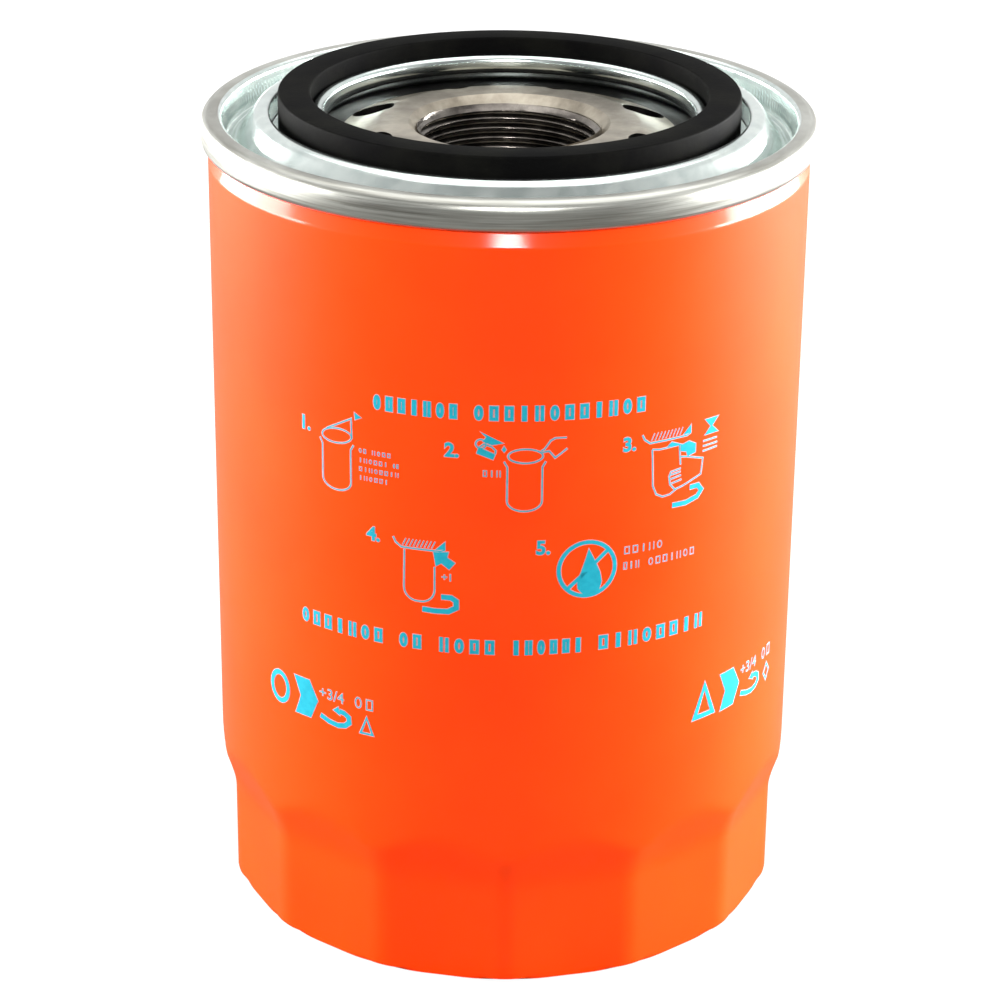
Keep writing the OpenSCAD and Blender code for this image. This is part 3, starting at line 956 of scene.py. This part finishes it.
def finishInside():
    tin, wire = tinplate(), springWire()
    valveRubber = nitrile("softNitrile", "#101011", "#262524", 0.55, 0.3)
    potting = plastisol("curedPottingResin", "#5B7F5C", "#6F9470")
    finishes = {
        tin: ("top_end_cap", "bottom_end_cap", "media_clip", "centre_tube", "bypass_cage", "spring_locator"),
        wire: ("bypass_spring", "support_spring"),
        valveRubber: ("anti_drain_valve", "element_grommet", "bypass_seal"),
        potting: ("top_potting", "bottom_potting"),
        plastisol("seamSealant", "#8E8776", "#A29B88"): ("seam_compound",),
        filterPaper(): ("pleated_media",),
        mouldedNylon(): ("bypass_poppet",),
    }
    for material, nodes in finishes.items():
        for node in nodes:
            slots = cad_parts[node].data.materials
            slots.clear()
            slots.append(material)


finishInside()


coilSettings = {             # name, body, joint, the end that stays (0 low, 1 high) and travel in mm
    "bypass_spring": ("bypassCoil", "element", "bypass_lift", 1, 3.0),
    "support_spring": ("supportCoil", "housing", "element_float", 0, 2.0),
}


def freeCoils():
    # copies each coil's wire, merges its doubles and puts it on its body in place of the imported coil
    for node, (name, body, joint, stays, travel) in coilSettings.items():
        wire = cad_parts[node].data
        bm = bmesh.new()
        bm.from_mesh(wire)
        bmesh.ops.remove_doubles(bm, verts=bm.verts, dist=1e-6)
        coil = placePiece(bm, name, [wire.materials[0]], body, 60)
        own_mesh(coil)
        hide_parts(node)


freeCoils()


# studio: a pale floor, large soft boxes and the camera

print("lighting the studio")

studioSettings = {
    "floorSize": 8.0,
    "floorTone": "#60605F",
    "floorGlow": 0.9,        # keeps the paper white to the eye without lighting the filter from below
    "worldFront": 0.28,      # darker on the camera's side, bright behind the filter
    "worldSide": 0.85,
    "worldBack": 1.0,
    "boxes": {               # place, size in metres, watts
        "leftBox": ((-0.74, 0.22, 0.16), (0.8, 0.32), 27.0),
        "rightBox": ((0.74, 0.22, 0.16), (0.8, 0.32), 42.0),
        "topBox": ((0.0, 0.1, 0.8), (0.9, 0.9), 4.0),
        "frontBox": ((-0.012, -0.62, 0.39), (0.16, 0.09), 3.9),
    },
    "aim": (0.0, 0.0, 0.07),
}


def buildStudio():
    s = studioSettings
    bm = bmesh.new()
    bmesh.ops.create_grid(bm, x_segments=1, y_segments=1, size=s["floorSize"] / 2,
                          matrix=Matrix.Translation((0, 0, -0.02 * mm)))
    mesh = bpy.data.meshes.new("floor")
    bm.to_mesh(mesh)
    bm.free()
    floor = bpy.data.objects.new("floor", mesh)
    scene.collection.objects.link(floor)
    # matt studio paper, lit evenly so that it stays white behind the filter
    material, shader = startMaterial("whiteStudioPaper", {
        "Base Color": paintColor(s["floorTone"]), "Roughness": 0.9, "Specular IOR Level": 0.1,
        "Emission Color": paintColor("#FFFFFF")})
    seen = addNode(material, "ShaderNodeLightPath").outputs["Is Camera Ray"]
    glow = addNode(material, "ShaderNodeMath", {"operation": "MULTIPLY"}, {0: seen})
    glow.inputs[1].default_value = s["floorGlow"]
    connect(material, glow, shader, "Emission Strength")
    mesh.materials.append(material)
    world = bpy.data.worlds.new("studio")
    world.use_nodes = True
    sky = world.node_tree.nodes["Background"]
    place = addNode(world, "ShaderNodeTexCoord").outputs["Generated"]
    depth = addNode(world, "ShaderNodeSeparateXYZ", links={"Vector": place}).outputs["Y"]
    along = addNode(world, "ShaderNodeMapRange", {"From Min": -1.0, "From Max": 1.0}, {"Value": depth})
    ramp = addNode(world, "ShaderNodeValToRGB", links={"Fac": along})
    ramp.color_ramp.interpolation = "EASE"
    ramp.color_ramp.elements[0].position = 0.15
    ramp.color_ramp.elements[0].color = (s["worldFront"] / 2,) * 3 + (1,)
    ramp.color_ramp.elements[1].color = (s["worldBack"] / 2,) * 3 + (1,)
    ramp.color_ramp.elements.new(0.55).color = (s["worldSide"] / 2,) * 3 + (1,)
    world.node_tree.links.new(ramp.outputs[0], sky.inputs["Color"])
    sky.inputs["Strength"].default_value = 2.0
    scene.world = world
    for name, (place, size, watts) in s["boxes"].items():
        light = bpy.data.lights.new(name, "AREA")
        light.shape = "ELLIPSE" if name == "frontBox" else "RECTANGLE"
        light.size, light.size_y = size
        light.energy = watts
        lamp = bpy.data.objects.new(name, light)
        lamp.location = place
        lamp.rotation_euler = (Vector(s["aim"]) - Vector(place)).to_track_quat("-Z", "Y").to_euler()
        lamp.visible_camera = False
        scene.collection.objects.link(lamp)


cameraSettings = {           # lens and place in mm, angles in radians
    "lens": 114.54,
    "sensor": 36,
    "place": (-10.0, -475.97, 266.84),
    "heading": -0.0193,
    "down": 0.4035,
    "roll": 0.0112,
}


def placeCamera():
    s = cameraSettings
    lens = bpy.data.cameras.new("camera")
    lens.lens = s["lens"]
    lens.sensor_width = s["sensor"]
    lens.clip_start = 0.01
    camera = bpy.data.objects.new("camera", lens)
    place = Matrix.Translation(Vector(s["place"]) * mm)
    camera.matrix_world = (place @ Matrix.Rotation(s["heading"], 4, "Z")
                           @ Matrix.Rotation(math.pi / 2 - s["down"], 4, "X")
                           @ Matrix.Rotation(s["roll"], 4, "Z"))
    scene.collection.objects.link(camera)
    scene.camera = camera


buildStudio()
placeCamera()
scene.view_settings.view_transform = "Standard"
